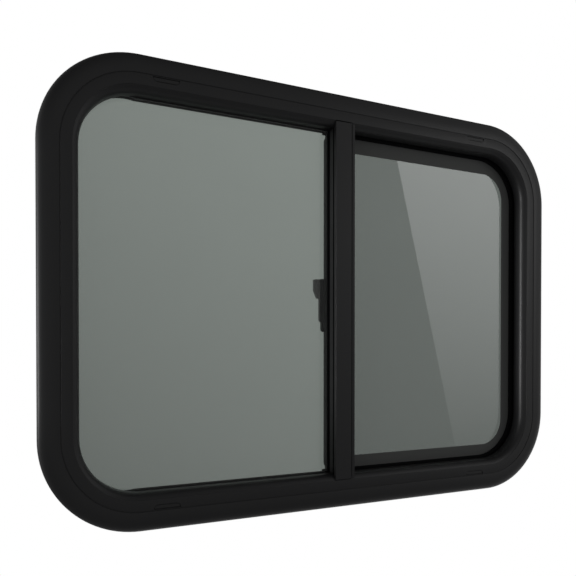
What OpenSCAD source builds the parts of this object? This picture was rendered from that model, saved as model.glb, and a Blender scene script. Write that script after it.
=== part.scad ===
// Caravan window: half sliding pane in a black rounded aluminium frame.
// X runs to the right as seen from outside, Y runs from the outside to the inside, Z is up.
// The origin is on the flat back of the flange, in the middle of its lower run.

/* [Frame outline] */
// Width over the flange
frame_w = 740; // [560:1:1000]
// Height over the flange
frame_h = 540; // [420:1:800]
// Outer corner radius of the flange
corner_r = 110; // [75:1:140]

/* [Frame section] */
// How far the flange laps over the wall around the cut-out
flange_lap = 20; // [14:0.5:22]
// Gap between the frame's body and the cut-out
cut_gap = 2; // [1:0.5:3]
// Thickness of the flange at its outer edge
edge_t = 2.2; // [1.5:0.1:4]
// How far the crown stands in front of the wall
crown_h = 9.5; // [6:0.1:14]
// Width of the curved outer part of the crown
crown_run = 17; // [10:0.5:20]
// Distance of the fine groove from the outer edge
groove_at = 23; // [21:0.1:26]
// Width of the fine groove
groove_w = 1; // [0.5:0.1:1.5]
// Depth of the fine groove
groove_d = 0.8; // [0.3:0.1:1.5]
// Distance of the small step from the outer edge
step_at = 36.5; // [33:0.5:38]
// Height of the small step
step_d = 0.6; // [0.3:0.1:1.5]
// Distance of the opening from the outer edge
lip_at = 44; // [42:0.5:52]
// How deep the frame's body reaches into the wall
body_depth = 40; // [32:1:60]
// Thickness of the body's outer leg
leg_t = 2.5; // [1.5:0.1:4]
// Thickness of the bottom of the two glass channels
channel_floor_t = 2.5; // [1.5:0.1:3]
// How far the glass channels reach outwards from the opening
channel_d = 10; // [8:0.5:10.5]
// Thickness of the fin between the two channels
fin_t = 1.6; // [1.2:0.1:2.5]

// How far the fins of the channels stand out beyond the opening
fin_show = 2.4; // [0.5:0.1:5]

/* [Glass] */
// Thickness of each pane
glass_t = 4; // [3:0.5:5]
// Distance of the fixed pane behind the wall's outer face
fixed_at = 11.5; // [10:0.5:16]
// Thickness of the gasket in front of the fixed pane
gasket_front_t = 1.5; // [1:0.1:3]
// Thickness of the gasket behind the fixed pane
gasket_back_t = 1; // [0.8:0.1:2]
// How far the gasket shows inside the opening
gasket_show = 1.2; // [0.6:0.1:3]
// Wall thickness of the lining in the sliding channel
lining_t = 0.7; // [0.5:0.1:1]
// Running gap between the sliding pane and the lining
run_gap = 0.3; // [0.2:0.05:0.5]
// Width of the black printed border along the opening's top and bottom
border_w = 18; // [10:0.5:30]
// Width of the black printed border along the opening's side
border_side_w = 14.5; // [10:0.5:30]
// Inner corner radius of the printed border
border_r = 38; // [20:1:60]
// Thickness of the printed border
border_t = 0.2; // [0.1:0.05:0.25]

/* [Mullion] */
// Distance of the mullion's middle from the frame's middle
mullion_off = 6; // [-60:1:60]
// Width of the mullion
mullion_w = 24; // [20:0.5:34]
// How far the mullion's face stands in front of the wall
mullion_front = 10; // [8.5:0.1:14]
// Wall thickness of the mullion
mullion_t = 2; // [1.5:0.1:3]
// Thickness of the mullion's leg behind the fixed pane
mullion_back_t = 1; // [0.8:0.1:1.3]
// Gap around the mullion's ends
mullion_gap = 0.8; // [0.1:0.05:1]
// Width of the lip along the mullion's side towards the sliding pane
mullion_lip_w = 5.5; // [3:0.5:8]
// Thickness of the lip
mullion_lip_t = 3; // [1.5:0.1:4]
// Width of the shadow groove between the mullion's face and the lip
shadow_w = 1.4; // [0.8:0.1:2]
// Depth of the shadow groove
shadow_d = 1.4; // [0.8:0.1:1.5]
// How far the lip stands back from the mullion's face
mullion_lip_back = 1.2; // [0.5:0.1:3]
// Reach of the brush seal beyond the mullion
brush_reach = 3; // [1:0.5:6]

/* [Sliding pane] */
// Width of the meeting stile
stile_w = 16; // [14:0.5:24]
// Wall thickness of the meeting stile
stile_t = 1.2; // [1:0.1:1.6]
// Gap between the meeting stile and the channels' fins
stile_gap = 2; // [0.5:0.1:4]
// Corner radius at the free ends of the meeting stile
stile_r = 7; // [2:0.5:9]

/* [Latch] */
// Height of the latch body
latch_h = 71; // [50:1:90]
// Depth of the latch body
latch_d = 10; // [8:0.5:16]
// How far the latch body stands out beyond the meeting stile
latch_out = 6; // [4:0.5:14]
// Width of the latch body
latch_w = 20; // [16:0.5:24]
// How far the thumb piece stands out beyond the latch body
thumb_out = 5; // [3:0.5:12]
// Height of the thumb piece
thumb_h = 17; // [14:0.5:26]
// Height of the thumb piece's slanted lower edge
thumb_slope = 9; // [4:0.5:14]
// Thickness of the thumb piece
thumb_t = 4; // [3:0.5:6]
// How far the latch body narrows at its lower end
nub_in = 3; // [2:0.5:4]
// Height of the latch body's narrow lower end
nub_h = 13; // [8:1:20]
// Thickness of the latch's base plate
latch_base_t = 2; // [1:0.5:3]
// Corner radius of the latch
latch_r = 2.5; // [1:0.5:3]
// How far the latch's housing stands back from its base plate's edge
latch_step = 1.2; // [0.5:0.1:2]
// Radius of the grip grooves in the thumb piece
grip_r = 0.9; // [0.5:0.1:1.2]
// Distance between the grip grooves
grip_pitch = 3.6; // [2.5:0.1:5]
// Distance of the latch's middle above the frame's middle
latch_z = -4; // [-60:1:60]

/* [Mullion clips] */
// Height of each clip behind the mullion
clip_h = 16; // [8:1:30]
// Thickness of each clip
clip_t = 2; // [1:0.5:3]
// Side gap of each clip, both sides together
clip_gap = 0.6; // [0.2:0.1:2]

/* [Travel stops and joint] */
// Length of each travel stop
stop_w = 10; // [6:1:20]
// Length of the plate that joins the frame's two ends
joining_w = 90; // [50:1:140]
// How deep the joining plate reaches
joining_d = 30; // [20:1:32]
// Thickness of the joining plate
joining_t = 3; // [2:0.5:5]

/* [Drain caps] */
// Length of each drain cap
drain_w = 32; // [20:0.5:44]
// Height of each drain cap
drain_h = 5.5; // [4:0.5:8]
// Distance of the drain caps' middle from the side edges
drain_at = 140; // [120:1:200]
// Depth of the pocket that each drain cap sits in
drain_pocket = 1.2; // [0.8:0.1:2]
// How far each drain cap lies below the face
drain_sunk = 0.4; // [0.2:0.1:0.6]

/* [Flange seal] */
// Width of the sealing tape in the flange
seal_w = 5; // [3:0.5:5.5]
// Depth of the groove for the sealing tape
seal_d = 1.6; // [1:0.1:2]
// Distance of the sealing tape from the flange's edge
seal_at = 2.5; // [2:0.1:3.5]

/* [Hidden] */
$fn = 64;

black = "#1f1f20";
rubber_black = "#101011";
glass_tint = [0.42, 0.47, 0.44, 0.6];

fixed_back = fixed_at + glass_t;
channel_front = fixed_at - gasket_front_t;
fin_front = fixed_back + gasket_back_t;
fin_back = fin_front + fin_t;
slide_at = fin_back + lining_t + run_gap;
slide_back = slide_at + glass_t;
rear_fin = slide_back + run_gap + lining_t;
floor_at = lip_at - channel_d;
inner_at = lip_at + fin_show;
leg_at = flange_lap + cut_gap;
fixed_edge = floor_at + gasket_front_t;
slide_edge = floor_at + lining_t + run_gap;

mid_z = frame_h/2 - flange_lap/2;
mullion_x0 = mullion_off - mullion_w/2;
mullion_x1 = mullion_off + mullion_w/2;
stile_x0 = mullion_x0;
stile_x1 = stile_x0 + stile_w;
stile_front = slide_at - stile_t;
stile_back = slide_back + stile_t;
stile_h = frame_h - 2*(inner_at + stile_gap);
slide_x0 = stile_x0 + stile_t;
straight_x = frame_w/2 - corner_r;
lining_x0 = stop_w - straight_x;
lining_end = inner_at - lining_t;
border_h = frame_h - 2*(inner_at + border_w);
latch_x0 = stile_x0 - latch_out;
thumb_at = stile_back + latch_d - thumb_t;

// Points of a quarter ellipse from (x0, y0) to (x1, y1), which starts along y
function quarter(x0, y0, x1, y1, n = 8) =
    [for (i = [0:n]) [x0 + (x1 - x0)*(1 - cos(90*i/n)), y0 + (y1 - y0)*sin(90*i/n)]];

// Points of a quarter ellipse from (x0, y0) to (x1, y1), which starts along x
function quarter_x(x0, y0, x1, y1, n = 8) =
    [for (i = [0:n]) [x0 + (x1 - x0)*sin(90*i/n), y0 + (y1 - y0)*(1 - cos(90*i/n))]];

// Puts what is drawn in the plane of the frame, with depth as minus z, into its place
module upright() {
    translate([0, 0, mid_z]) rotate([90, 0, 0]) children();
}

// Carries a section around the frame: each point is [distance from the outer edge, depth]
module ring(section) {
    outline = [for (p = section) [p[0], -p[1]]];
    turned = [for (p = section) [corner_r - p[0], -p[1]]];
    for (i = [0:3]) {
        run = (i % 2 == 0 ? frame_w : frame_h) - 2*corner_r;
        half = (i % 2 == 0 ? frame_h : frame_w)/2;
        rotate([0, 0, 90*i]) {
            translate([-run/2, -half, 0])
                rotate([90, 0, 90]) linear_extrude(run) polygon(outline);
            translate([run/2, corner_r - half, 0])
                rotate([0, 0, -90]) rotate_extrude(angle = 90) polygon(turned);
        }
    }
}

// Rounded rectangle, inset from the outer edge, cut off left of x0 and right of x1
module inset_outline(inset, x0 = -frame_w, x1 = frame_w) {
    w = frame_w - 2*inset;
    h = frame_h - 2*inset;
    r = corner_r - inset;
    intersection() {
        union() {
            square([w - 2*r, h], center = true);
            square([w, h - 2*r], center = true);
            for (sx = [-1, 1], sy = [-1, 1])
                translate([sx*(w/2 - r), sy*(h/2 - r)]) circle(r);
        }
        translate([x0, -frame_h]) square([x1 - x0, 2*frame_h]);
    }
}

// A flat plate in the plane of the frame, from one depth to another
module plate(from, to) {
    translate([0, 0, -to]) linear_extrude(to - from) children();
}

// Keeps what lies between x0 and x1
module between(x0, x1) {
    intersection() {
        children();
        translate([x0, -frame_h, -body_depth*2]) cube([x1 - x0, 2*frame_h, body_depth*4]);
    }
}

front_curve = concat(
    [[0, 0]],
    quarter(0, -edge_t, crown_run, -crown_h),
    [
        [groove_at, -crown_h],
        [groove_at, -crown_h + groove_d],
        [groove_at + groove_w, -crown_h + groove_d],
        [groove_at + groove_w, -crown_h],
        [step_at, -crown_h]
    ],
    quarter_x(step_at, -crown_h + step_d, lip_at, 1)
);

frame_section = concat(
    front_curve,
    [
        [lip_at, channel_front],
        [floor_at, channel_front],
        [floor_at, fin_front],
        [inner_at, fin_front],
        [inner_at, fin_back],
        [floor_at, fin_back],
        [floor_at, rear_fin],
        [inner_at, rear_fin],
        [inner_at, rear_fin + fin_t],
        [floor_at - channel_floor_t, rear_fin + fin_t],
        [floor_at - channel_floor_t, leg_t],
        [leg_at + leg_t, leg_t],
        [leg_at + leg_t, body_depth],
        [leg_at, body_depth],
        [leg_at, 0],
        [seal_at + seal_w, 0],
        [seal_at + seal_w, -seal_d],
        [seal_at, -seal_d],
        [seal_at, 0]
    ]
);

// Outline of one drain cap, flat along the groove and round towards the opening
module drain_outline(gap = 0) {
    r = drain_h - gap;
    translate([gap - drain_w/2 + r - gap, 0]) intersection() {
        circle(r);
        translate([-r, 0]) square([r, r]);
    }
    translate([drain_w/2 - r, 0]) intersection() {
        circle(r);
        square([r, r]);
    }
    translate([r - drain_w/2, 0]) square([drain_w - 2*r, r]);
}

// Places a drain cap's outline: sx is -1 on the left, sz is -1 at the bottom
module at_drain(sx, sz) {
    translate([sx*(frame_w/2 - drain_at), sz*(frame_h/2 - groove_at - groove_w)])
        rotate(sz > 0 ? 180 : 0) children();
}

module outer_frame() {
    color(black) upright() difference() {
        ring(frame_section);
        for (sx = [-1, 1], sz = [-1, 1])
            plate(-crown_h - 1, -crown_h + drain_pocket) at_drain(sx, sz) drain_outline();
    }
}

module drain_cap(sx, sz) {
    color(rubber_black) upright()
        plate(-crown_h + drain_sunk, -crown_h + drain_pocket) at_drain(sx, sz) drain_outline(0.2);
}

module flange_seal() {
    color(rubber_black) upright() ring([
        [seal_at, -seal_d],
        [seal_at + seal_w, -seal_d],
        [seal_at + seal_w, 0],
        [seal_at, 0]
    ]);
}

module fixed_pane() {
    color(glass_tint) upright()
        plate(fixed_at, fixed_back)
            inset_outline(fixed_edge, x1 = mullion_x0 + channel_d - gasket_front_t);
}

module fixed_pane_gasket() {
    color(rubber_black) upright() between(-frame_w, mullion_x0 + channel_d) ring([
        [floor_at, channel_front],
        [lip_at + gasket_show, channel_front],
        [lip_at + gasket_show, fixed_at],
        [fixed_edge, fixed_at],
        [fixed_edge, fixed_back],
        [lip_at, fixed_back],
        [lip_at, fin_front],
        [floor_at, fin_front]
    ]);
}

// The mullion's section, seen from above: a box in front, a channel for the fixed pane behind, and a
// lip with a fine groove beside the box
module mullion_section() {
    difference() {
        translate([mullion_x0, -mullion_front]) square([mullion_w, channel_front + mullion_front]);
        translate([mullion_x0 + mullion_t, mullion_t - mullion_front])
            square([mullion_w - 2*mullion_t, channel_front + mullion_front - 2*mullion_t]);
    }
    difference() {
        translate([mullion_x1, mullion_lip_back - mullion_front]) square([mullion_lip_w, mullion_lip_t]);
        translate([mullion_x1, mullion_lip_back - mullion_front]) square([shadow_w, shadow_d]);
    }
    translate([mullion_x0 + channel_d, channel_front])
        square([mullion_t, fin_front + mullion_back_t - channel_front]);
    translate([mullion_x0, fin_front]) square([channel_d + mullion_t, mullion_back_t]);
}

// The room that the frame takes up at the mullion's lower end, with a gap around it
module frame_room() {
    g = mullion_gap;
    translate([0, -frame_h/2, 0]) rotate([90, 0, 90]) translate([0, 0, -frame_w/2])
        linear_extrude(frame_w) polygon(concat(
            [[-frame_h, 2*crown_h + mullion_front], [step_at + g, 2*crown_h + mullion_front]],
            [for (p = quarter_x(step_at, -crown_h + step_d, lip_at, 1)) [p[0] + g, -p[1] + g]],
            [
                [lip_at + g, g - fin_front],
                [inner_at + g, g - fin_front],
                [inner_at + g, -2*body_depth],
                [-frame_h, -2*body_depth]
            ]
        ));
}

// Stands a section, drawn as seen from above, upright over the whole height of the frame
module post(h) {
    rotate([90, 0, 0]) translate([0, 0, -h/2]) linear_extrude(h) mirror([0, 1]) children();
}

module mullion() {
    color(black) upright() difference() {
        post(frame_h) mullion_section();
        frame_room();
        mirror([0, 1, 0]) frame_room();
    }
}

module mullion_gasket() {
    x0 = mullion_x0;
    color(rubber_black) upright() post(frame_h - 2*(lip_at + gasket_show)) difference() {
        translate([x0, channel_front]) square([channel_d, fin_front - channel_front]);
        translate([x0 - 1, fixed_at]) square([channel_d - gasket_front_t + 1, glass_t]);
    }
}

module mullion_brush() {
    color(rubber_black) upright() post(frame_h - 2*(inner_at + mullion_gap))
        translate([mullion_x1 - mullion_t, channel_front])
            square([mullion_t + brush_reach, slide_at - run_gap - channel_front]);
}

// Angle plate that holds one end of the mullion in the frame's empty glass channel
module mullion_clip() {
    x0 = mullion_x0 + channel_d + mullion_t;
    w = mullion_w - channel_d - 2*mullion_t - clip_gap;
    color(black) upright() translate([x0 + clip_gap/2, -frame_h/2, 0]) rotate([90, 0, 90])
        linear_extrude(w) polygon([
            [floor_at, -channel_front],
            [lip_at + clip_h, -channel_front],
            [lip_at + clip_h, -channel_front - clip_t],
            [floor_at + clip_t, -channel_front - clip_t],
            [floor_at + clip_t, -fin_front],
            [floor_at, -fin_front]
        ]);
}

// Section of the lining in the sliding pane's channel
lining_section = [
    [floor_at, fin_back],
    [lining_end, fin_back],
    [lining_end, fin_back + lining_t],
    [floor_at + lining_t, fin_back + lining_t],
    [floor_at + lining_t, rear_fin - lining_t],
    [lining_end, rear_fin - lining_t],
    [lining_end, rear_fin],
    [floor_at, rear_fin]
];

module lower_lining() {
    color(rubber_black) upright() translate([lining_x0, -frame_h/2, 0]) rotate([90, 0, 90])
        linear_extrude(straight_x - lining_x0) polygon([for (p = lining_section) [p[0], -p[1]]]);
}

module jamb_lining() {
    color(rubber_black) upright() between(straight_x, frame_w) ring(lining_section);
}

// Rubber block that stops the sliding pane at the end of its travel
module lower_travel_stop() {
    color(rubber_black) upright() translate([lining_x0 - stop_w, 0, 0])
        plate(fin_back, rear_fin)
            translate([0, floor_at - frame_h/2]) square([stop_w, lining_end - floor_at]);
}

// Turns a piece at the bottom of the frame into its twin at the top
module at_top() {
    translate([0, 0, mid_z]) mirror([0, 0, 1]) translate([0, 0, -mid_z]) children();
}

module joining_plate() {
    color("#8c8f92") upright() plate(leg_t, joining_d)
        translate([mullion_off - joining_w/2, leg_at + leg_t - frame_h/2]) square([joining_w, joining_t]);
}

module sliding_pane() {
    color(glass_tint) upright() plate(slide_at, slide_back) inset_outline(slide_edge, x0 = slide_x0);
}

// Black border printed on the sliding pane's outer face
module pane_border() {
    color(rubber_black) upright() plate(slide_at - border_t, slide_at) difference() {
        inset_outline(slide_edge, x0 = stile_x1);
        rounded(-frame_w, -border_h/2, frame_w/2 - inner_at - border_side_w, border_h/2, border_r);
    }
}

// Rectangle from (x0, y0) to (x1, y1) with round corners
module rounded(x0, y0, x1, y1, r) {
    translate([x0 + r, y0]) square([x1 - x0 - 2*r, y1 - y0]);
    translate([x0, y0 + r]) square([x1 - x0, y1 - y0 - 2*r]);
    for (x = [x0 + r, x1 - r], y = [y0 + r, y1 - r]) translate([x, y]) circle(r);
}

// The channel that closes the sliding pane's left edge, with round corners at its free ends
module meeting_stile() {
    h = stile_h/2;
    color(black) upright() intersection() {
        post(stile_h) difference() {
            translate([stile_x0, stile_front]) square([stile_w, stile_back - stile_front]);
            translate([slide_x0, slide_at]) square([stile_w, glass_t]);
        }
        plate(stile_front - 1, stile_back + 1)
            rounded(stile_x0, -h, stile_x1 + 2*stile_r, h, stile_r);
    }
}

// Outline of the latch, narrower at its lower end
module latch_outline(inset) {
    h = latch_h/2 - inset;
    x1 = latch_x0 + latch_w - inset;
    rounded(latch_x0 + inset, nub_h - h, x1, h, latch_r);
    rounded(latch_x0 + nub_in + inset, -h, x1, nub_h + latch_r - h, latch_r);
}

module latch_body() {
    color(rubber_black) upright() translate([0, latch_z, 0]) {
        plate(stile_back, stile_back + latch_base_t) latch_outline(0);
        plate(stile_back + latch_base_t, thumb_at) latch_outline(latch_step);
    }
}

// Thumb piece: a plate with a slanted lower edge and grip grooves across it
module latch_thumb() {
    h = latch_h/2;
    x0 = latch_x0 - thumb_out;
    x1 = latch_x0 + latch_w - 2*nub_in;
    color(black) upright() translate([0, latch_z, 0]) difference() {
        plate(thumb_at, thumb_at + thumb_t) union() {
            rounded(x0, h - thumb_h, x1, h, latch_r);
            polygon([
                [x0, h - thumb_h + latch_r],
                [latch_x0, h - thumb_h - thumb_slope],
                [x1, h - thumb_h - thumb_slope],
                [x1, h - thumb_h + latch_r]
            ]);
        }
        for (i = [-1:1])
            translate([x0 - 1, h - thumb_h/2 + i*grip_pitch, -thumb_at - thumb_t])
                rotate([0, 90, 0]) cylinder(h = x1 - x0 + 2, r = grip_r);
    }
}

outer_frame();
joining_plate();
flange_seal();
fixed_pane();
fixed_pane_gasket();
mullion();
mullion_gasket();
mullion_brush();
at_top() mullion_clip();  // mullion_clip_top
mullion_clip();  // mullion_clip_bottom
at_top() lower_lining();  // upper_lining
lower_lining();
jamb_lining();
at_top() lower_travel_stop();  // upper_travel_stop
lower_travel_stop();
sliding_pane();
pane_border();
meeting_stile();
latch_body();
latch_thumb();
drain_cap(-1, 1);  // drain_cap_top_left
drain_cap(1, 1);  // drain_cap_top_right
drain_cap(-1, -1);  // drain_cap_bottom_left
drain_cap(1, -1);  // drain_cap_bottom_right
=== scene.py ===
"""A half sliding caravan window: black aluminium frame, tinted panes, seen from outside, front left.

Lengths are in metres. X runs right, Y from outside to inside, Z up. The sections follow the window as it
is put together: frame, fixed pane, mullion, sliding pane, latch, and last the studio.
"""

import bmesh
import bpy
import numpy as np
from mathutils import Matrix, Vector
from mathutils.geometry import tessellate_polygon


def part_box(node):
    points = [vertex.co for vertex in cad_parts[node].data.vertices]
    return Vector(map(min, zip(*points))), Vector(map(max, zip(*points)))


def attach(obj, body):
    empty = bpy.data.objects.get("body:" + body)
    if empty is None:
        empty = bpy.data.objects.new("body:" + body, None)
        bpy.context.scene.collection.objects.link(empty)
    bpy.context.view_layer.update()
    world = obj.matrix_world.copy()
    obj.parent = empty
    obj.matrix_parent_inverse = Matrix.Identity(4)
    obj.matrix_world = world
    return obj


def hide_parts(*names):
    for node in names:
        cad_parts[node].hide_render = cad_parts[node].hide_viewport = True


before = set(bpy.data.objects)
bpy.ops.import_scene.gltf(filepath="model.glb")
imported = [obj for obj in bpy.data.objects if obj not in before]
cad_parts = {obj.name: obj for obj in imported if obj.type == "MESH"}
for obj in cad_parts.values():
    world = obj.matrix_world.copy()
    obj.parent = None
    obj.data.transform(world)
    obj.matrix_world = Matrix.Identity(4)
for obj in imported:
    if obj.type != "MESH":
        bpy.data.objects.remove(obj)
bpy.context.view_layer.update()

# The outer frame: one powder-coated aluminium extrusion, bent round four corners and closed behind the lower
# run. Its crown carries a fine groove and a step and rolls over a lip. Two glass channels lie behind the
# lip, with fins milled back left of the mullion, and the body's leg reaches through the wall.
MM = 0.001
frame_low, frame_high = (np.array(c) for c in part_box("outer_frame"))
half_w = (frame_high[0] - frame_low[0]) / 2
half_h = (frame_high[2] - frame_low[2]) / 2
mid_z = (frame_high[2] + frame_low[2]) / 2
corner_r = 110 * MM
edge_t = 2.2 * MM
crown_h = 9.5 * MM
crown_run = 17 * MM
groove_at, groove_w, groove_d = 23 * MM, 1 * MM, 0.8 * MM
step_at, step_d = 36.5 * MM, 0.6 * MM
lip_at = 44 * MM
fin_edge = 46.4 * MM
fin_edge_left = 43.9 * MM
fin_t = 1.6 * MM
channel_floor = 34 * MM
channel_floor_t = 2.5 * MM
leg_at, leg_t, body_depth = 22 * MM, 2.5 * MM, 40 * MM
seal_at, seal_w, seal_d = 2.5 * MM, 5 * MM, 1.6 * MM
fixed_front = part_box("fixed_pane")[0][1]
fixed_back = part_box("fixed_pane")[1][1]
slide_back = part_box("sliding_pane")[1][1]
channel_front = fixed_front - 1.5 * MM
fin_front = fixed_back + 1 * MM
fin_back = fin_front + fin_t
rear_fin = slide_back + 1 * MM
mullion_x0 = float(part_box("mullion")[0][0])
fin_step = mullion_x0 - 1.5 * MM
CORNER_STEPS = 28


def linear(hex_colour):
    """sRGB hex to linear light: below 0.04045 a twelfth, above it the 2.4th power."""
    c = np.array([int(hex_colour[i:i + 2], 16) / 255 for i in (1, 3, 5)])
    c = np.where(c <= 0.04045, c / 12.92, ((c + 0.055) / 1.055) ** 2.4)
    return (*c, 1.0)


def add(tree, kind, settings=None, **links):
    """Adds a node, sets its properties and inputs by name or number, and links inputs, _0 for number 0, to
    (node, output) pairs."""
    node = tree.nodes.new(kind)
    for name, value in (settings or {}).items():
        if isinstance(name, str) and hasattr(node, name):
            setattr(node, name, value)
        else:
            node.inputs[name].default_value = value
    for name, (source, output) in links.items():
        socket = node.inputs[int(name[1:]) if name[0] == "_" else name.replace("_", " ")]
        tree.links.new(source.outputs[output], socket)
    return node


def material(name, colour, roughness, **settings):
    """A Principled material with its fixed values on the shader's own sockets."""
    m = bpy.data.materials.new(name)
    m.use_nodes = True
    shader = m.node_tree.nodes["Principled BSDF"]
    shader.inputs["Base Color"].default_value = linear(colour)
    shader.inputs["Roughness"].default_value = roughness
    for key, value in settings.items():
        shader.inputs[key.replace("_", " ")].default_value = value
    return m, m.node_tree, shader


def grain(tree, shader, size, height, detail=2.0):
    """Bump from noise in object space: size and height of the grain in metres."""
    place = add(tree, "ShaderNodeTexCoord")
    noise = add(tree, "ShaderNodeTexNoise", {"Scale": 1 / size, "Detail": detail}, Vector=(place, "Object"))
    bump = add(tree, "ShaderNodeBump", {"Strength": 1.0, "Distance": height}, Height=(noise, "Fac"))
    tree.links.new(bump.outputs["Normal"], shader.inputs["Normal"])
    return noise


def powder_coat(name, colour):
    """Fine satin powder coat on aluminium: black, slightly orange-peeled, so highlights break up softly."""
    m, tree, shader = material(name, colour, 0.42, Specular_IOR_Level=0.35)
    noise = grain(tree, shader, 1.1 * MM, 0.012 * MM)
    rough = add(tree, "ShaderNodeMapRange", {"To Min": 0.36, "To Max": 0.48}, Value=(noise, "Fac"))
    tree.links.new(rough.outputs["Result"], shader.inputs["Roughness"])
    return m


def eased(points, radius=0.3 * MM, steps=4):
    """Rounds the corners of a closed section: from the corner, go back and on by the radius (one, or one
    a corner) and blend the three points with the weights (1-t)^2, 2t(1-t), t^2. Corners flatter than 12
    degrees stay."""
    p = np.array(points)
    radii = np.broadcast_to(radius, len(p))
    back, on = np.roll(p, 1, 0) - p, np.roll(p, -1, 0) - p
    lengths = [np.linalg.norm(v, axis=1) for v in (back, on)]
    turn = np.degrees(np.arccos(np.clip(-(back * on).sum(1) / (lengths[0] * lengths[1]), -1, 1)))
    out = []
    for i in range(len(p)):
        if turn[i] < 12:
            out.append(p[i])
            continue
        a, b = (p[i] + v[i] / l[i] * min(radii[i], 0.45 * l[i]) for v, l in zip((back, on), lengths))
        out += [(1 - t) ** 2 * a + 2 * t * (1 - t) * p[i] + t * t * b for t in np.linspace(0, 1, steps)]
    return np.array(out)


def quarter(x0, y0, x1, y1, along_y, n=24):
    """Quarter ellipse from (x0, y0) to (x1, y1) that starts along y, or along x: sine and 1 - cosine."""
    t = np.radians(np.linspace(0, 90, n))
    s, c = np.sin(t), 1 - np.cos(t)
    return np.c_[x0 + (x1 - x0) * (c if along_y else s), y0 + (y1 - y0) * (s if along_y else c)]


def round_the_frame(x=None, side=0, extra=()):
    """Stations of a sweep, counter-clockwise from the bottom right corner, each the corner's centre x and z
    and a turn. With x and side, only those on the right (1) or left (-1) side, ending in the upper and
    lower run at x. Extra are x positions where the straight runs get a station too."""
    cx, cz = half_w - corner_r, half_h - corner_r
    out = []
    for k, (sx, sz) in enumerate(((1, -1), (1, 1), (-1, 1), (-1, -1))):
        out += [(sx * cx, mid_z + sz * cz, np.radians(t)) for t in np.linspace(-90, 0, CORNER_STEPS) + 90 * k]
        if sx * sz > 0:
            out += [(e, mid_z + sz * cz, np.radians(180 - 90 * sz)) for e in sorted(extra)[::-sz]]
    if not side:
        return np.array(out)
    ends = [(x, mid_z - side * cz, np.radians(-90 * side)), (x, mid_z + side * cz, np.radians(90 * side))]
    return np.array([ends[0], *(s for s in out if s[0] * side > 0), ends[1]])


def swept(section, stations, closed=True, skip=(), back=0.0):
    """Vertices and faces of a closed section carried along stations. A section point at distance u from the
    outer edge lies at centre + (corner radius - u) * (cos turn, sin turn); its depth is y. Open sweeps get
    an end face at both ends. Skip are (station, point) pairs whose face is left to another surface. Back,
    one for all or one a station, draws the points behind the lip's edge back towards the outer edge."""
    u, y = section[:, 0], section[:, 1]
    behind = (u > lip_at - 1 * MM) & (y > channel_front + 0.1 * MM)
    reach = corner_r - u + np.outer(np.broadcast_to(back, len(stations)), behind)
    x = stations[:, 0:1] + reach * np.cos(stations[:, 2:3])
    z = stations[:, 1:2] + reach * np.sin(stations[:, 2:3])
    verts = np.stack([x, np.broadcast_to(y, x.shape), z], -1)
    m, n = x.shape
    faces = []
    for i in range(m if closed else m - 1):
        k = (i + 1) % m
        faces += [(i * n + j, k * n + j, k * n + (j + 1) % n, i * n + (j + 1) % n)
                  for j in range(n) if (i, j) not in skip]
    if not closed:
        faces += [tuple(range(n)), tuple((m - 1) * n + j for j in reversed(range(n)))]
    return verts.reshape(-1, 3), faces


def tighter(stations, by=12 * MM):
    """How far a bend with a radius smaller by that much lies outside the frame's own bend: the amount times
    (|cos turn| + |sin turn| - 1)."""
    return by * (np.abs(np.cos(stations[:, 2])) + np.abs(np.sin(stations[:, 2])) - 1)


def outward(mesh):
    """Turns all faces of a closed mesh outward."""
    b = bmesh.new()
    b.from_mesh(mesh)
    bmesh.ops.recalc_face_normals(b, faces=b.faces)
    b.to_mesh(mesh)
    b.free()


def build(name, verts, faces, stuff, angle=35):
    """A mesh piece on the root body: faces outward and smooth, with edges sharper than the angle kept."""
    mesh = bpy.data.meshes.new(name)
    mesh.from_pydata(np.asarray(verts).tolist(), [], faces)
    outward(mesh)
    mesh.polygons.foreach_set("use_smooth", np.ones(len(mesh.polygons), bool))
    mesh.set_sharp_from_angle(angle=np.radians(angle))
    mesh.materials.append(stuff)
    piece = bpy.data.objects.new(name, mesh)
    bpy.context.scene.collection.objects.link(piece)
    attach(piece, "root")
    return piece


# Four shallow D-shaped pockets are milled into the crown beside the groove, two above and two below.
drain_w, drain_h, drain_at = 32 * MM, 5.5 * MM, 140 * MM
pocket_floor = 1.2 * MM - crown_h
drain_flat = groove_at + groove_w + 0.6 * MM


def drain_loop(sx, sz, gap):
    """The D outline of a drain as (x, z) pairs: flat beside the groove, two quarter circles with the D's
    height as radius towards the opening. Everything shrinks by the gap."""
    r = drain_h - 2 * gap
    half = drain_w / 2 - gap - r
    turn = np.radians(np.linspace(0, 90, 12))
    x = np.r_[half + r * np.cos(turn), -half + r * np.cos(turn + np.pi / 2)]
    u = np.r_[r * np.sin(turn), r * np.sin(turn + np.pi / 2)] + drain_flat + gap
    return np.c_[sx * (half_w - drain_at) + x, mid_z + sz * (half_h - u)]


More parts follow.
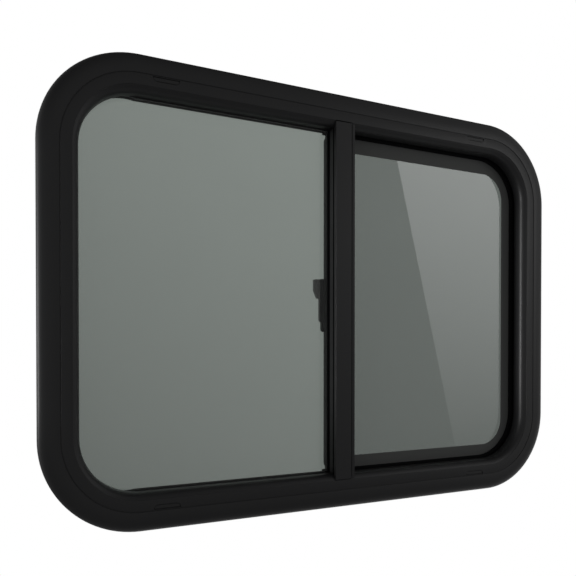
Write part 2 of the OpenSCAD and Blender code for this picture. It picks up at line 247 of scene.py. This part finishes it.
t = np.linspace(0, 1, 28)[:, None]
lip_points = np.array([[step_at, step_d - crown_h], [39.3 * MM, -7.6 * MM], [43.9 * MM, -5.2 * MM],
                       [lip_at, 1 * MM]])
roll_over = ((1 - t) ** 3 * lip_points[0] + 3 * t * (1 - t) ** 2 * lip_points[1]
             + 3 * t * t * (1 - t) * lip_points[2] + t ** 3 * lip_points[3])
frame_section = eased(np.vstack([
    [[0, 0]],
    quarter(0, -edge_t, crown_run, -crown_h, True),
    [[groove_at, -crown_h], [groove_at, groove_d - crown_h]],
    [[groove_at + groove_w, groove_d - crown_h], [groove_at + groove_w, -crown_h]],
    [[step_at, -crown_h]],
    roll_over,
    [[lip_at, channel_front], [channel_floor, channel_front]],
    [[channel_floor, fin_front], [fin_edge, fin_front]],
    [[fin_edge, fin_back], [channel_floor, fin_back]],
    [[channel_floor, rear_fin], [fin_edge, rear_fin]],
    [[fin_edge, rear_fin + fin_t], [channel_floor - channel_floor_t, rear_fin + fin_t]],
    [[channel_floor - channel_floor_t, leg_t], [leg_at + leg_t, leg_t]],
    [[leg_at + leg_t, body_depth], [leg_at, body_depth]],
    [[leg_at, 0], [seal_at + seal_w, 0]],
    [[seal_at + seal_w, -seal_d], [seal_at, -seal_d], [seal_at, 0]],
]))
drain_x = half_w - drain_at
patch = drain_w / 2 + 4 * MM
cuts = [s * drain_x + o for s in (-1, 1) for o in (-patch, patch)]
stations = round_the_frame(extra=cuts + [fin_step - 0.2 * MM, fin_step])
milled = np.where(stations[:, 0] < fin_step - 0.1 * MM, fin_edge - fin_edge_left + tighter(stations), 0)
flat = next(j for j in range(len(frame_section) - 1)
            if np.ptp(frame_section[j:j + 2, 0]) > 8 * MM and abs(frame_section[j, 1] + crown_h) < 1e-6
            and frame_section[j, 0] > groove_at)
holes = {}
for sz in (1, -1):
    for sx in (1, -1):
        first = sx * drain_x + sz * patch
        at = next(i for i, s in enumerate(stations) if abs(s[0] - first) < 1e-6 and (s[1] > mid_z) == (sz > 0)
                  and abs(np.cos(s[2])) < 1e-6 and abs(abs(s[0]) - half_w + corner_r) > 1e-6)
        holes[(at, flat)] = (sx, sz)
verts, faces = swept(frame_section, stations, skip=holes, back=milled)
verts = [tuple(v) for v in verts]
n = len(frame_section)
for (i, j), (sx, sz) in holes.items():
    corners = [i * n + j, (i + 1) * n + j, (i + 1) * n + j + 1, i * n + j + 1]
    loop = drain_loop(sx, sz, 0.0)
    rim = len(verts)
    verts += [(x, -crown_h, z) for x, z in loop] + [(x, pocket_floor, z) for x, z in loop]
    ring = list(range(rim, rim + len(loop)))
    flat_points = [[Vector((verts[k][0], verts[k][2], 0)) for k in part] for part in (corners, ring)]
    numbered = corners + ring
    faces += [tuple(numbered[k] for k in tri) for tri in tessellate_polygon(flat_points)]
    deep = [k + len(loop) for k in ring]
    faces += [(ring[k - 1], ring[k], deep[k], deep[k - 1]) for k in range(len(loop))]
    faces.append(tuple(deep))
coat = powder_coat("satin_powder_coat", "#212122")
outer_frame = build("outer_frame_shell", verts, faces, coat)
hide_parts("outer_frame")


# Each pocket has a moulded cap that lets water out and keeps dirt from the groove. It is pressed in a
# little below the face, with a shadow gap around it.
def nylon(name, colour="#161617", roughness=0.45):
    """Moulded nylon, black unless another colour is given: the eroded mould leaves a fine, even grain of half
    a millimetre.
    """
    m, tree, shader = material(name, colour, roughness)
    grain(tree, shader, 0.5 * MM, 0.012 * MM)
    return m


cap_nylon = nylon("cap_nylon", "#0f0f10", 0.5)
for side_x, side_z, node in ((-1, 1, "drain_cap_top_left"), (1, 1, "drain_cap_top_right"),
                             (-1, -1, "drain_cap_bottom_left"), (1, -1, "drain_cap_bottom_right")):
    top = drain_loop(side_x, side_z, 0.85 * MM)
    low = drain_loop(side_x, side_z, 0.6 * MM)
    count = len(top)
    verts = [(x, 0.45 * MM - crown_h, z) for x, z in top] + [(x, 0.7 * MM - crown_h, z) for x, z in low]
    verts += [(x, pocket_floor, z) for x, z in low]
    faces = [tuple(range(count)), tuple(range(2 * count, 3 * count))]
    for k in range(count):
        for row in (0, count):
            faces.append((row + k - 1 if k else row + count - 1, row + k, row + count + k,
                          row + count + (k - 1 if k else count - 1)))
    cap = build(node + "_dressed", verts, faces, cap_nylon)
    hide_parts(node)


# A foam tape lies in the flange's back groove and is pressed against the wall. The frame's two ends meet
# behind the lower run, where a riveted aluminium plate joins them.
def rubber(name, colour="#0a0a0b", roughness=0.6, size=0.9 * MM, height=0.012 * MM, shine=0.5):
    """Black rubber with a matt, slightly uneven skin of the given grain."""
    m, tree, shader = material(name, colour, roughness, Specular_IOR_Level=shine)
    grain(tree, shader, size, height)
    return m


def mill_finish():
    """Mill-finished aluminium: lines of the press run along X, some 0.3 mm apart and 40 mm long."""
    m, tree, shader = material("mill_aluminium", "#a9abad", 0.38, Metallic=1.0)
    place = add(tree, "ShaderNodeTexCoord")
    lines = add(tree, "ShaderNodeMapping", {"Scale": (25, 3000, 3000)}, Vector=(place, "Object"))
    noise = add(tree, "ShaderNodeTexNoise", {"Scale": 1.0, "Detail": 2.0}, Vector=(lines, "Vector"))
    rough = add(tree, "ShaderNodeMapRange", {"To Min": 0.28, "To Max": 0.5}, Value=(noise, "Fac"))
    tree.links.new(rough.outputs["Result"], shader.inputs["Roughness"])
    return m


def dressed(node, stuff, bevel=0.3 * MM):
    """A copy of a CAD solid with merged vertices, flat faces joined and edges rounded by the bevel."""
    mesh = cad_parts[node].data.copy()
    mesh.name = node + "_dressed"
    b = bmesh.new()
    b.from_mesh(mesh)
    bmesh.ops.remove_doubles(b, verts=b.verts, dist=1e-6)
    bmesh.ops.dissolve_limit(b, angle_limit=np.radians(0.5), verts=b.verts, edges=b.edges)
    bmesh.ops.recalc_face_normals(b, faces=b.faces)
    b.to_mesh(mesh)
    b.free()
    mesh.materials.clear()
    mesh.materials.append(stuff)
    mesh.polygons.foreach_set("use_smooth", np.ones(len(mesh.polygons), bool))
    mesh.set_sharp_from_angle(angle=np.radians(35))
    piece = bpy.data.objects.new(mesh.name, mesh)
    bpy.context.scene.collection.objects.link(piece)
    if bevel:
        edge = piece.modifiers.new("rounded_edges", "BEVEL")
        edge.width, edge.segments, edge.limit_method = bevel, 2, "ANGLE"
        edge.angle_limit = np.radians(35)
        edge.harden_normals = True
    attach(piece, "root")
    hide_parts(node)
    return piece


foam = rubber("seal_foam", "#0c0c0c", 0.85, 1.6 * MM, 0.15 * MM)
dressed("flange_seal", foam, 0)
mill = mill_finish()
dressed("joining_plate", mill, 0.5 * MM)

# The fixed pane: toughened glass with a grey-green tint, held in the outer channel all round by a rubber
# gasket that shows as a narrow line inside the opening.
def tinted_glass(name, thin, thick):
    """Tinted toughened glass under a faint veil of dust, which is its sheen. The tint is a trace lighter and
    darker over some 120 mm, as the rollers and the quench leave it."""
    m, tree, shader = material(name, thin, 0.0, Transmission_Weight=1.0, IOR=1.5, Sheen_Weight=0.13,
                               Sheen_Roughness=1.0)
    place = add(tree, "ShaderNodeTexCoord")
    noise = add(tree, "ShaderNodeTexNoise", {"Scale": 1 / 0.12, "Detail": 1.0}, Vector=(place, "Object"))
    tint = add(tree, "ShaderNodeMix", {"data_type": "RGBA", 6: linear(thin), 7: linear(thick)},
               _0=(noise, "Fac"))
    tree.links.new(tint.outputs[2], shader.inputs["Base Color"])
    return m


fixed_pane = dressed("fixed_pane", tinted_glass("fixed_pane_glass", "#818883", "#7f8681"), 0.4 * MM)
gasket = rubber("gasket_rubber", "#070708", 0.55)
gasket_show = 1.2 * MM
gasket_section = eased(np.array([
    [channel_floor, channel_front], [lip_at + gasket_show, channel_front + 0.3 * MM],
    [lip_at + gasket_show, fixed_front], [channel_floor + 1.5 * MM, fixed_front],
    [channel_floor + 1.5 * MM, fixed_back], [lip_at, fixed_back], [lip_at, fin_front],
    [channel_floor, fin_front]]), 0.25 * MM)
left_run = round_the_frame(mullion_x0 + 10 * MM, -1)
verts, faces = swept(gasket_section, left_run, closed=False, back=tighter(left_run))
gasket_ring = build("fixed_pane_gasket_dressed", verts, faces, gasket)
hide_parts("fixed_pane_gasket")


# The mullion: a second extrusion, boxed in front, with its own channel for the fixed pane behind. A cover
# snaps on in front, so a fine joint runs down its side. Its ends are cut to the frame's rolled lip, and a
# strip of near-black foam closes the gap at each, wider at the top; its black is painted shadow of the gap.
def end_height(y, gap=0.8 * MM):
    """Half height of the mullion at depth y: the frame's lip curve plus the gap, then the fins' edge."""
    u = fin_edge if y > fin_front - 1e-6 else np.interp(y, roll_over[:, 1], roll_over[:, 0])
    return half_h - gap - u


def upright(name, loop, ends, stuff, angle=35):
    """A post: the closed (x, y) loop goes from -ends(y) to +ends(y) about mid height; its two end faces
    are triangulated, so they follow the curve of ends."""
    n = len(loop)
    high = [(x, y, mid_z + ends(y)) for x, y in loop]
    low = [(x, y, mid_z - ends(y)) for x, y in loop]
    tris = tessellate_polygon([[Vector((x, y, 0)) for x, y in loop]])
    faces = [(k, (k + 1) % n, n + (k + 1) % n, n + k) for k in range(n)]
    faces += [tuple(t) for t in tris] + [tuple(n + k for k in t) for t in tris]
    return build(name, high + low, faces, stuff, angle)


def finely(points, step=0.6 * MM):
    """The loop with more points, so that none are further apart than the step."""
    out = []
    for a, b in zip(points, np.roll(points, -1, 0)):
        count = max(1, int(np.ceil(np.linalg.norm(b - a) / step)))
        out += [a + (b - a) * k / count for k in range(count)]
    return np.array(out)


x0, x1, face = mullion_x0, mullion_x0 + 24 * MM, -10 * MM
leg = x0 + 10 * MM
lip_x, lip_y, lip_t = x1 + 5.5 * MM, face + 1.2 * MM, 3 * MM
edge_r = 0.7 * MM
mullion_points = np.array([
    [x0, face], [x0, channel_front], [leg, channel_front], [leg, fin_front], [x0, fin_front],
    [x0, fin_front + 1 * MM], [leg + 2 * MM, fin_front + 1 * MM], [leg + 2 * MM, channel_front],
    [x1, channel_front], [x1, lip_y + lip_t], [lip_x, lip_y + lip_t], [lip_x, lip_y],
    [x1 + 1.4 * MM, lip_y], [x1 + 1.4 * MM, lip_y + 1.4 * MM], [x1, lip_y + 1.4 * MM], [x1, face]])
mullion_loop = eased(mullion_points, [edge_r] + [0.25 * MM] * 14 + [edge_r], 6)
mullion = upright("mullion_dressed", finely(mullion_loop), end_height, coat)
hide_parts("mullion")
dressed("mullion_gasket", gasket, 0)
# Near-black and almost without shine: painted shade for the mullion's end gaps and the cover's joint.
painted_shade_foam = rubber("painted_shade_foam", "#030303", 0.95, 0.5 * MM, 0.05 * MM, 0.05)
for side, width in ((1, 1.3 * MM), (-1, 0.5 * MM)):
    z = mid_z + side * end_height(step_d - crown_h)
    low = np.array([x0 + 0.3 * MM, face + 0.15 * MM, min(z, z + side * width)])
    high = np.array([x1 - 0.2 * MM, step_d - crown_h + 0.3 * MM, max(z, z + side * width)])
    verts = [[(low, high)[k >> a & 1][a] for a in range(3)] for k in range(8)]
    sides = [(0, 1, 3, 2), (4, 5, 7, 6), (0, 1, 5, 4), (2, 3, 7, 6), (0, 2, 6, 4), (1, 3, 7, 5)]
    build("mullion_end_seal_" + ("top" if side > 0 else "bottom"), verts, sides, painted_shade_foam)


# The glazing rubber's flocked lip stands up the mullion's side and presses on the glass; its near-black over
# the side's deep part is painted shade of that recess. A black bead fills the joint of the cover, painted
# shadow of the joint.
flock = rubber("flocked_lip_painted_shade", "#050506", 0.95, 0.35 * MM, 0.06 * MM, 0.05)
lip_loop = eased(np.array([[x0 + 0.2 * MM, 5.9 * MM], [x0 - 0.3 * MM, 6.1 * MM], [x0 - 0.9 * MM, 10 * MM],
                           [x0 - 0.6 * MM, fixed_front], [x0 + 0.2 * MM, fixed_front]]), 0.2 * MM)
upright("mullion_glazing_lip", finely(lip_loop), end_height, flock)
# The bead's near-black is painted shadow: it draws the dark line of the cover's joint.
bead_loop = np.array([[x0 + 0.3 * MM, -5 * MM], [x0 - 0.12 * MM, -5 * MM], [x0 - 0.12 * MM, -2.4 * MM],
                      [x0 + 0.3 * MM, -2.4 * MM]])
upright("mullion_joint_bead", finely(bead_loop), end_height, painted_shade_foam)


def pile():
    """Black pile strip: fine fibres that run along X, 0.15 mm thick."""
    m, tree, shader = material("pile_strip", "#08080a", 0.9)
    place = add(tree, "ShaderNodeTexCoord")
    lines = add(tree, "ShaderNodeMapping", {"Scale": (400, 400, 6500)}, Vector=(place, "Object"))
    noise = add(tree, "ShaderNodeTexNoise", {"Scale": 1.0, "Detail": 1.0}, Vector=(lines, "Vector"))
    bump = add(tree, "ShaderNodeBump", {"Strength": 1.0, "Distance": 0.1 * MM}, Height=(noise, "Fac"))
    tree.links.new(bump.outputs["Normal"], shader.inputs["Normal"])
    return m


brush = pile()
dressed("mullion_brush", brush, 0)
for node in ("mullion_clip_top", "mullion_clip_bottom"):
    dressed(node, coat)

# The sliding pane runs in the inner channel, which a flocked rubber lining makes quiet and weathertight. The
# fin in front of it is flocked too. Opened all the way, the pane meets two rubber stops.
def drawn_back(piece, u):
    """Cuts the piece beside the mullion and draws what lies left of it back to distance u from the edge."""
    b = bmesh.new()
    b.from_mesh(piece.data)
    for x in (fin_step, fin_step - 0.2 * MM):
        bmesh.ops.bisect_plane(b, geom=b.verts[:] + b.edges[:] + b.faces[:], plane_co=(x, 0, 0),
                               plane_no=(1, 0, 0), dist=1e-6)
    for v in b.verts:
        rise = v.co.z - mid_z
        if v.co.x < fin_step - 0.1 * MM and abs(rise) < half_h - u:
            v.co.z = mid_z + np.sign(rise) * (half_h - u)
    b.to_mesh(piece.data)
    b.free()
    return piece


lining_flock = rubber("flocked_lining", "#131314", 0.95, 0.35 * MM, 0.06 * MM, 0.05)
lining_t = 0.7 * MM
lining_edge = fin_edge_left - lining_t
for node in ("upper_lining", "lower_lining"):
    drawn_back(dressed(node, lining_flock, 0), lining_edge)
dressed("jamb_lining", lining_flock, 0)
for node in ("upper_travel_stop", "lower_travel_stop"):
    drawn_back(dressed(node, gasket, 0.5 * MM), lining_edge)
cap_section = eased(np.array([
    [channel_floor + 0.2 * MM, fin_front - 0.7 * MM], [fin_edge + 0.6 * MM, fin_front - 0.7 * MM],
    [fin_edge + 0.6 * MM, fin_back - 0.1 * MM], [fin_edge, fin_back - 0.1 * MM],
    [fin_edge, fin_front], [channel_floor + 0.2 * MM, fin_front]]), 0.2 * MM, 3)
verts, faces = swept(cap_section, round_the_frame(lip_x, 1), closed=False)
build("fin_flocking", verts, faces, lining_flock)

sliding_pane = dressed("sliding_pane", tinted_glass("sliding_pane_glass", "#636965", "#616763"), 0.4 * MM)


# A black ceramic border is printed and fired on the pane's outer face, matt. Its mid grey, a little lighter
# than the frame, is painted reflection of the sky the glass mirrors over black print. It hides the channel.
# The print's window sits 1.8 mm low on the pane and ends 1 mm short.
def ceramic_print_painted_reflection():
    """Fired ceramic enamel: matt, with the screen's faint 0.25 mm grain. Its mid grey is painted reflection
    on black print.
    """
    m, tree, shader = material("ceramic_print_painted_reflection", "#595a59", 0.8, Specular_IOR_Level=0.1)
    grain(tree, shader, 0.25 * MM, 0.004 * MM)
    return m


print_low, print_short = 1.8 * MM, 1.0 * MM
window_x, window_half_h, window_right = 321 * MM, 218 * MM, 280 * MM
print_ring = dressed("pane_border", ceramic_print_painted_reflection(), 0)
points = np.empty(3 * len(print_ring.data.vertices))
print_ring.data.vertices.foreach_get("co", points)
points = points.reshape(-1, 3)
inner = (points[:, 0] < window_x) & (np.abs(points[:, 2] - mid_z) < window_half_h)
points[inner, 2] -= print_low
points[inner & (points[:, 0] > window_right), 0] -= print_short
print_ring.data.vertices.foreach_set("co", points.ravel())

# The meeting stile is pressed onto the sliding pane's left edge. The latch is screwed to its inner face: a
# moulded housing on a base plate, with a thumb piece that lets the sash go. Two domed caps hide the screws.
# The stile's coat is a shade lighter than the frame's: painted light, lifting the stile where it stands
# behind the glass.
stile_coat_painted_light = powder_coat("stile_powder_coat_painted_light", "#242425")
dressed("meeting_stile", stile_coat_painted_light, 0.35 * MM)
# The latch body, thumb piece and screw caps are mid grey, not black nylon: painted light that lifts them
# where the glass keeps light off them.
dressed("latch_body", nylon("latch_nylon_painted_light", "#666766"), 0.4 * MM)
painted_light_nylon = nylon("thumb_nylon_painted_light", "#5c5d5c", 0.4)
dressed("latch_thumb", painted_light_nylon, 0.5 * MM)
latch_low, latch_high = (np.array(corner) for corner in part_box("latch_body"))
# The screw caps take the thumb's mid grey, which is painted light as well.
cap_turn = np.radians(np.arange(0, 360, 10))
for side, height in (("upper", 27.0 * MM), ("lower", 8.5 * MM)):
    centre = np.array([latch_low[0] + 11.0 * MM, latch_high[1] - 0.05 * MM, latch_low[2] + height])
    profile = np.array([[2.7, 0], [2.7, 0.35], [2.45, 0.6], [1.7, 0.78], [0.7, 0.85]]) * MM
    verts = [centre + [r * np.cos(t), y, r * np.sin(t)] for r, y in profile for t in cap_turn]
    count = len(cap_turn)
    last = len(profile) - 1
    faces = [(i + k, i + (k + 1) % count, i + count + (k + 1) % count, i + count + k)
             for i in range(0, last * count, count) for k in range(count)]
    faces += [tuple(range(count)), tuple(last * count + k for k in range(count))]
    build("latch_screw_cap_" + side, verts, faces, painted_light_nylon, 50)

# The studio. The picture's background is white for the camera; behind the glass it falls off a little to
# the left and downwards. What the surfaces reflect is a darker room with a few soft, bright sides.
scene = bpy.context.scene
scene.view_settings.view_transform = "Standard"
camera_data = bpy.data.cameras.new("camera")
camera_data.lens, camera_data.sensor_width = 40.97, 36.0
camera_data.shift_y = 0.1224
camera_data.clip_start = 0.01
camera = bpy.data.objects.new("camera", camera_data)
camera.location = (-0.4432, -0.7422, 0.1958)
camera.rotation_euler = (np.radians(89.30), 0.0, np.radians(-26.654))
scene.collection.objects.link(camera)
scene.camera = camera

world = bpy.data.worlds.new("studio")
scene.world = world
world.use_nodes = True
tree = world.node_tree
tree.nodes.clear()
way = add(tree, "ShaderNodeTexCoord")


def along(vector):
    """A node whose value is the share of the ray's direction along a vector."""
    return add(tree, "ShaderNodeVectorMath", {"operation": "DOT_PRODUCT", 1: vector}, _0=(way, "Generated"))


room = add(tree, "ShaderNodeValue")
room.outputs[0].default_value = 0.0
for direction, strength in (((-1, 0, 0), 0.9), ((1, 0, 0), 0.35), ((0, -1, 0), 0.32), ((0, 1, 0), 0.6),
                            ((0, 0, -1), 0.34), ((0.577, 0.577, -0.577), 1.1),
                            ((0.577, -0.577, 0.577), 0.25), ((-0.577, 0.577, 0.577), 0.5)):
    lobe = add(tree, "ShaderNodeMath", {"operation": "MAXIMUM", 1: 0.0}, _0=(along(direction), "Value"))
    lobe = add(tree, "ShaderNodeMath", {"operation": "POWER", 1: 4.0}, _0=(lobe, "Value"))
    room = add(tree, "ShaderNodeMath", {"operation": "MULTIPLY_ADD", 1: strength}, _0=(lobe, "Value"),
               _2=(room, "Value"))
fall = add(tree, "ShaderNodeMath", {"operation": "ADD", 1: 0.615}, _0=(along((0.47, 0.0, 0.6)), "Value"))
fall = add(tree, "ShaderNodeClamp", {"Min": 0.45, "Max": 1.0}, Value=(fall, "Value"))
path = add(tree, "ShaderNodeLightPath")
behind = add(tree, "ShaderNodeMix", {"data_type": "FLOAT"}, Factor=(path, "Is Transmission Ray"),
             A=(room, "Value"), B=(fall, "Result"))
shown = add(tree, "ShaderNodeMix", {"data_type": "FLOAT", "B": 1.0}, Factor=(path, "Is Camera Ray"),
            A=(behind, "Result"))
back = add(tree, "ShaderNodeBackground", {"Color": (1, 1, 1, 1)}, Strength=(shown, "Result"))
add(tree, "ShaderNodeOutputWorld", None, Surface=(back, "Background"))

# A tall white card stands in front on the right, brighter towards its top. It shows only as a reflection:
# its slanted edge crosses the sliding pane.
card_mesh = bpy.data.meshes.new("card")
card_corners = [(0.770, -0.9, 0.83), (1.027, -0.9, -0.16), (1.25, -0.9, -0.16), (1.25, -0.9, 0.83)]
card_mesh.from_pydata(card_corners, [], [(0, 1, 2, 3)])
card = bpy.data.objects.new("card", card_mesh)
scene.collection.objects.link(card)
glow = bpy.data.materials.new("card_glow")
glow.use_nodes = True
tree = glow.node_tree
tree.nodes.clear()
place = add(tree, "ShaderNodeTexCoord")
height = add(tree, "ShaderNodeSeparateXYZ", None, Vector=(place, "Object"))
light = add(tree, "ShaderNodeMath", {"operation": "MULTIPLY_ADD", 1: 2.7, 2: 0.8}, _0=(height, "Z"))
shine = add(tree, "ShaderNodeEmission", None, Strength=(light, "Value"))
add(tree, "ShaderNodeOutputMaterial", None, Surface=(shine, "Emission"))
card_mesh.materials.append(glow)
card.visible_camera = card.visible_transmission = False

# A gridded strip light far out on the left draws one thin line on the right lip and misses the rest.
strip = bpy.data.lights.new("gridded_strip", "AREA")
strip.shape, strip.size, strip.size_y = "RECTANGLE", 0.03, 0.34
strip.spread = np.radians(6)
strip.energy = 0.05
lamp = bpy.data.objects.new("gridded_strip", strip)
lamp.location = (-1.4, -0.08, 0.27)
lamp.rotation_euler = (Vector((0.326, -0.003, 0.27)) - lamp.location).to_track_quat("-Z", "Y").to_euler()
scene.collection.objects.link(lamp)
